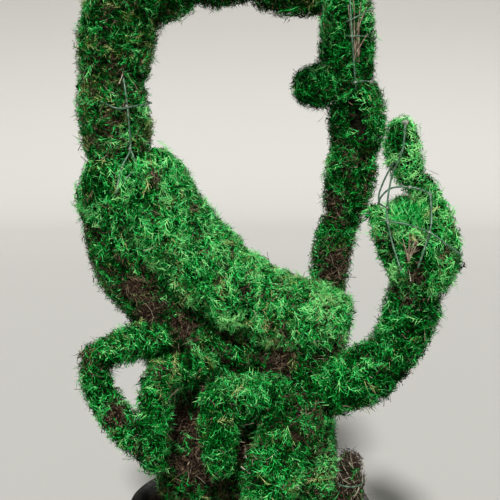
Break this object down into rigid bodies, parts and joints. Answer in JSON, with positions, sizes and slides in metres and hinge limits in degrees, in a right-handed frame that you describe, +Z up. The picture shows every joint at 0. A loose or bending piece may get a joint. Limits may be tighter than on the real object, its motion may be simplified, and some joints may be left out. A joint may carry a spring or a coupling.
{
  "type": "potted scorpion topiary",
  "caption": "Scorpion clipped from a scale-leaf conifer over a green wire frame, its tail arched above raised claws, standing in a plain round pot.",
  "frame": {"origin": "centre of the pot's flat underside", "axes": "+Z up, +X from the tail towards the head and claws, -Y towards the near claw"},
  "size_m": [1.3088, 0.884, 2.31],
  "materials": {
    "foliage_mid": "matte",
    "foliage_bright": "matte",
    "foliage_deep": "matte",
    "dead_twigs": "matte",
    "bare_wood": "matte",
    "coated_rod": "satin",
    "planter": "matte",
    "soil": "matte"
  },
  "bodies": {
    "root": {"pot": "planter", "soil": "soil", "stem": "bare_wood", "near_claw_cage": "coated_rod", "tail_hoop": "coated_rod", "far_claw_stay": "coated_rod", "knob_wire": "coated_rod", "far_claw_bare_stem": "bare_wood", "back_plate_1": "foliage_mid", "back_plate_2": "foliage_bright", "back_plate_3": "foliage_mid", "back_plate_4": "foliage_bright", "back_plate_5": "foliage_mid", "rump": "foliage_mid", "belly_rear": "foliage_deep", "belly_middle": "foliage_deep", "belly_front": "foliage_deep", "head": "foliage_bright", "jaw": "foliage_deep", "tail_1": "foliage_mid", "tail_2": "foliage_mid", "tail_3": "foliage_mid", "tail_4": "foliage_mid", "sting": "foliage_mid", "near_arm_lower": "foliage_mid", "near_arm_upper": "foliage_mid", "near_claw_palm": "foliage_bright", "near_claw_side": "foliage_bright", "near_claw_tip": "foliage_bright", "near_claw_back": "foliage_bright", "near_claw_thumb": "foliage_bright", "far_arm_lower": "foliage_deep", "far_arm_upper": "foliage_deep", "far_claw_palm": "foliage_deep", "far_claw_finger": "foliage_deep", "far_claw_thumb": "foliage_deep", "foot_middle": "foliage_mid", "foot_left": "foliage_mid", "foot_right": "foliage_mid", "foot_back": "foliage_deep", "foot_front": "foliage_mid", "near_leg_1_thigh": "foliage_mid", "far_leg_1_thigh": "foliage_deep", "near_leg_1_shin": "foliage_mid", "far_leg_1_shin": "foliage_deep", "near_leg_2_thigh": "foliage_mid", "far_leg_2_thigh": "foliage_deep", "near_leg_2_shin": "foliage_mid", "far_leg_2_shin": "foliage_deep", "near_leg_3_thigh": "foliage_mid", "far_leg_3_thigh": "foliage_deep", "near_leg_3_shin": "foliage_mid", "far_leg_3_shin": "foliage_deep", "near_leg_4_thigh": "foliage_mid", "far_leg_4_thigh": "foliage_deep", "near_leg_4_shin": "foliage_mid", "far_leg_4_shin": "foliage_deep", "bare_twig_knob": "dead_twigs", "near_claw_bare_twigs": "bare_wood"}
  },
  "joints": []
}
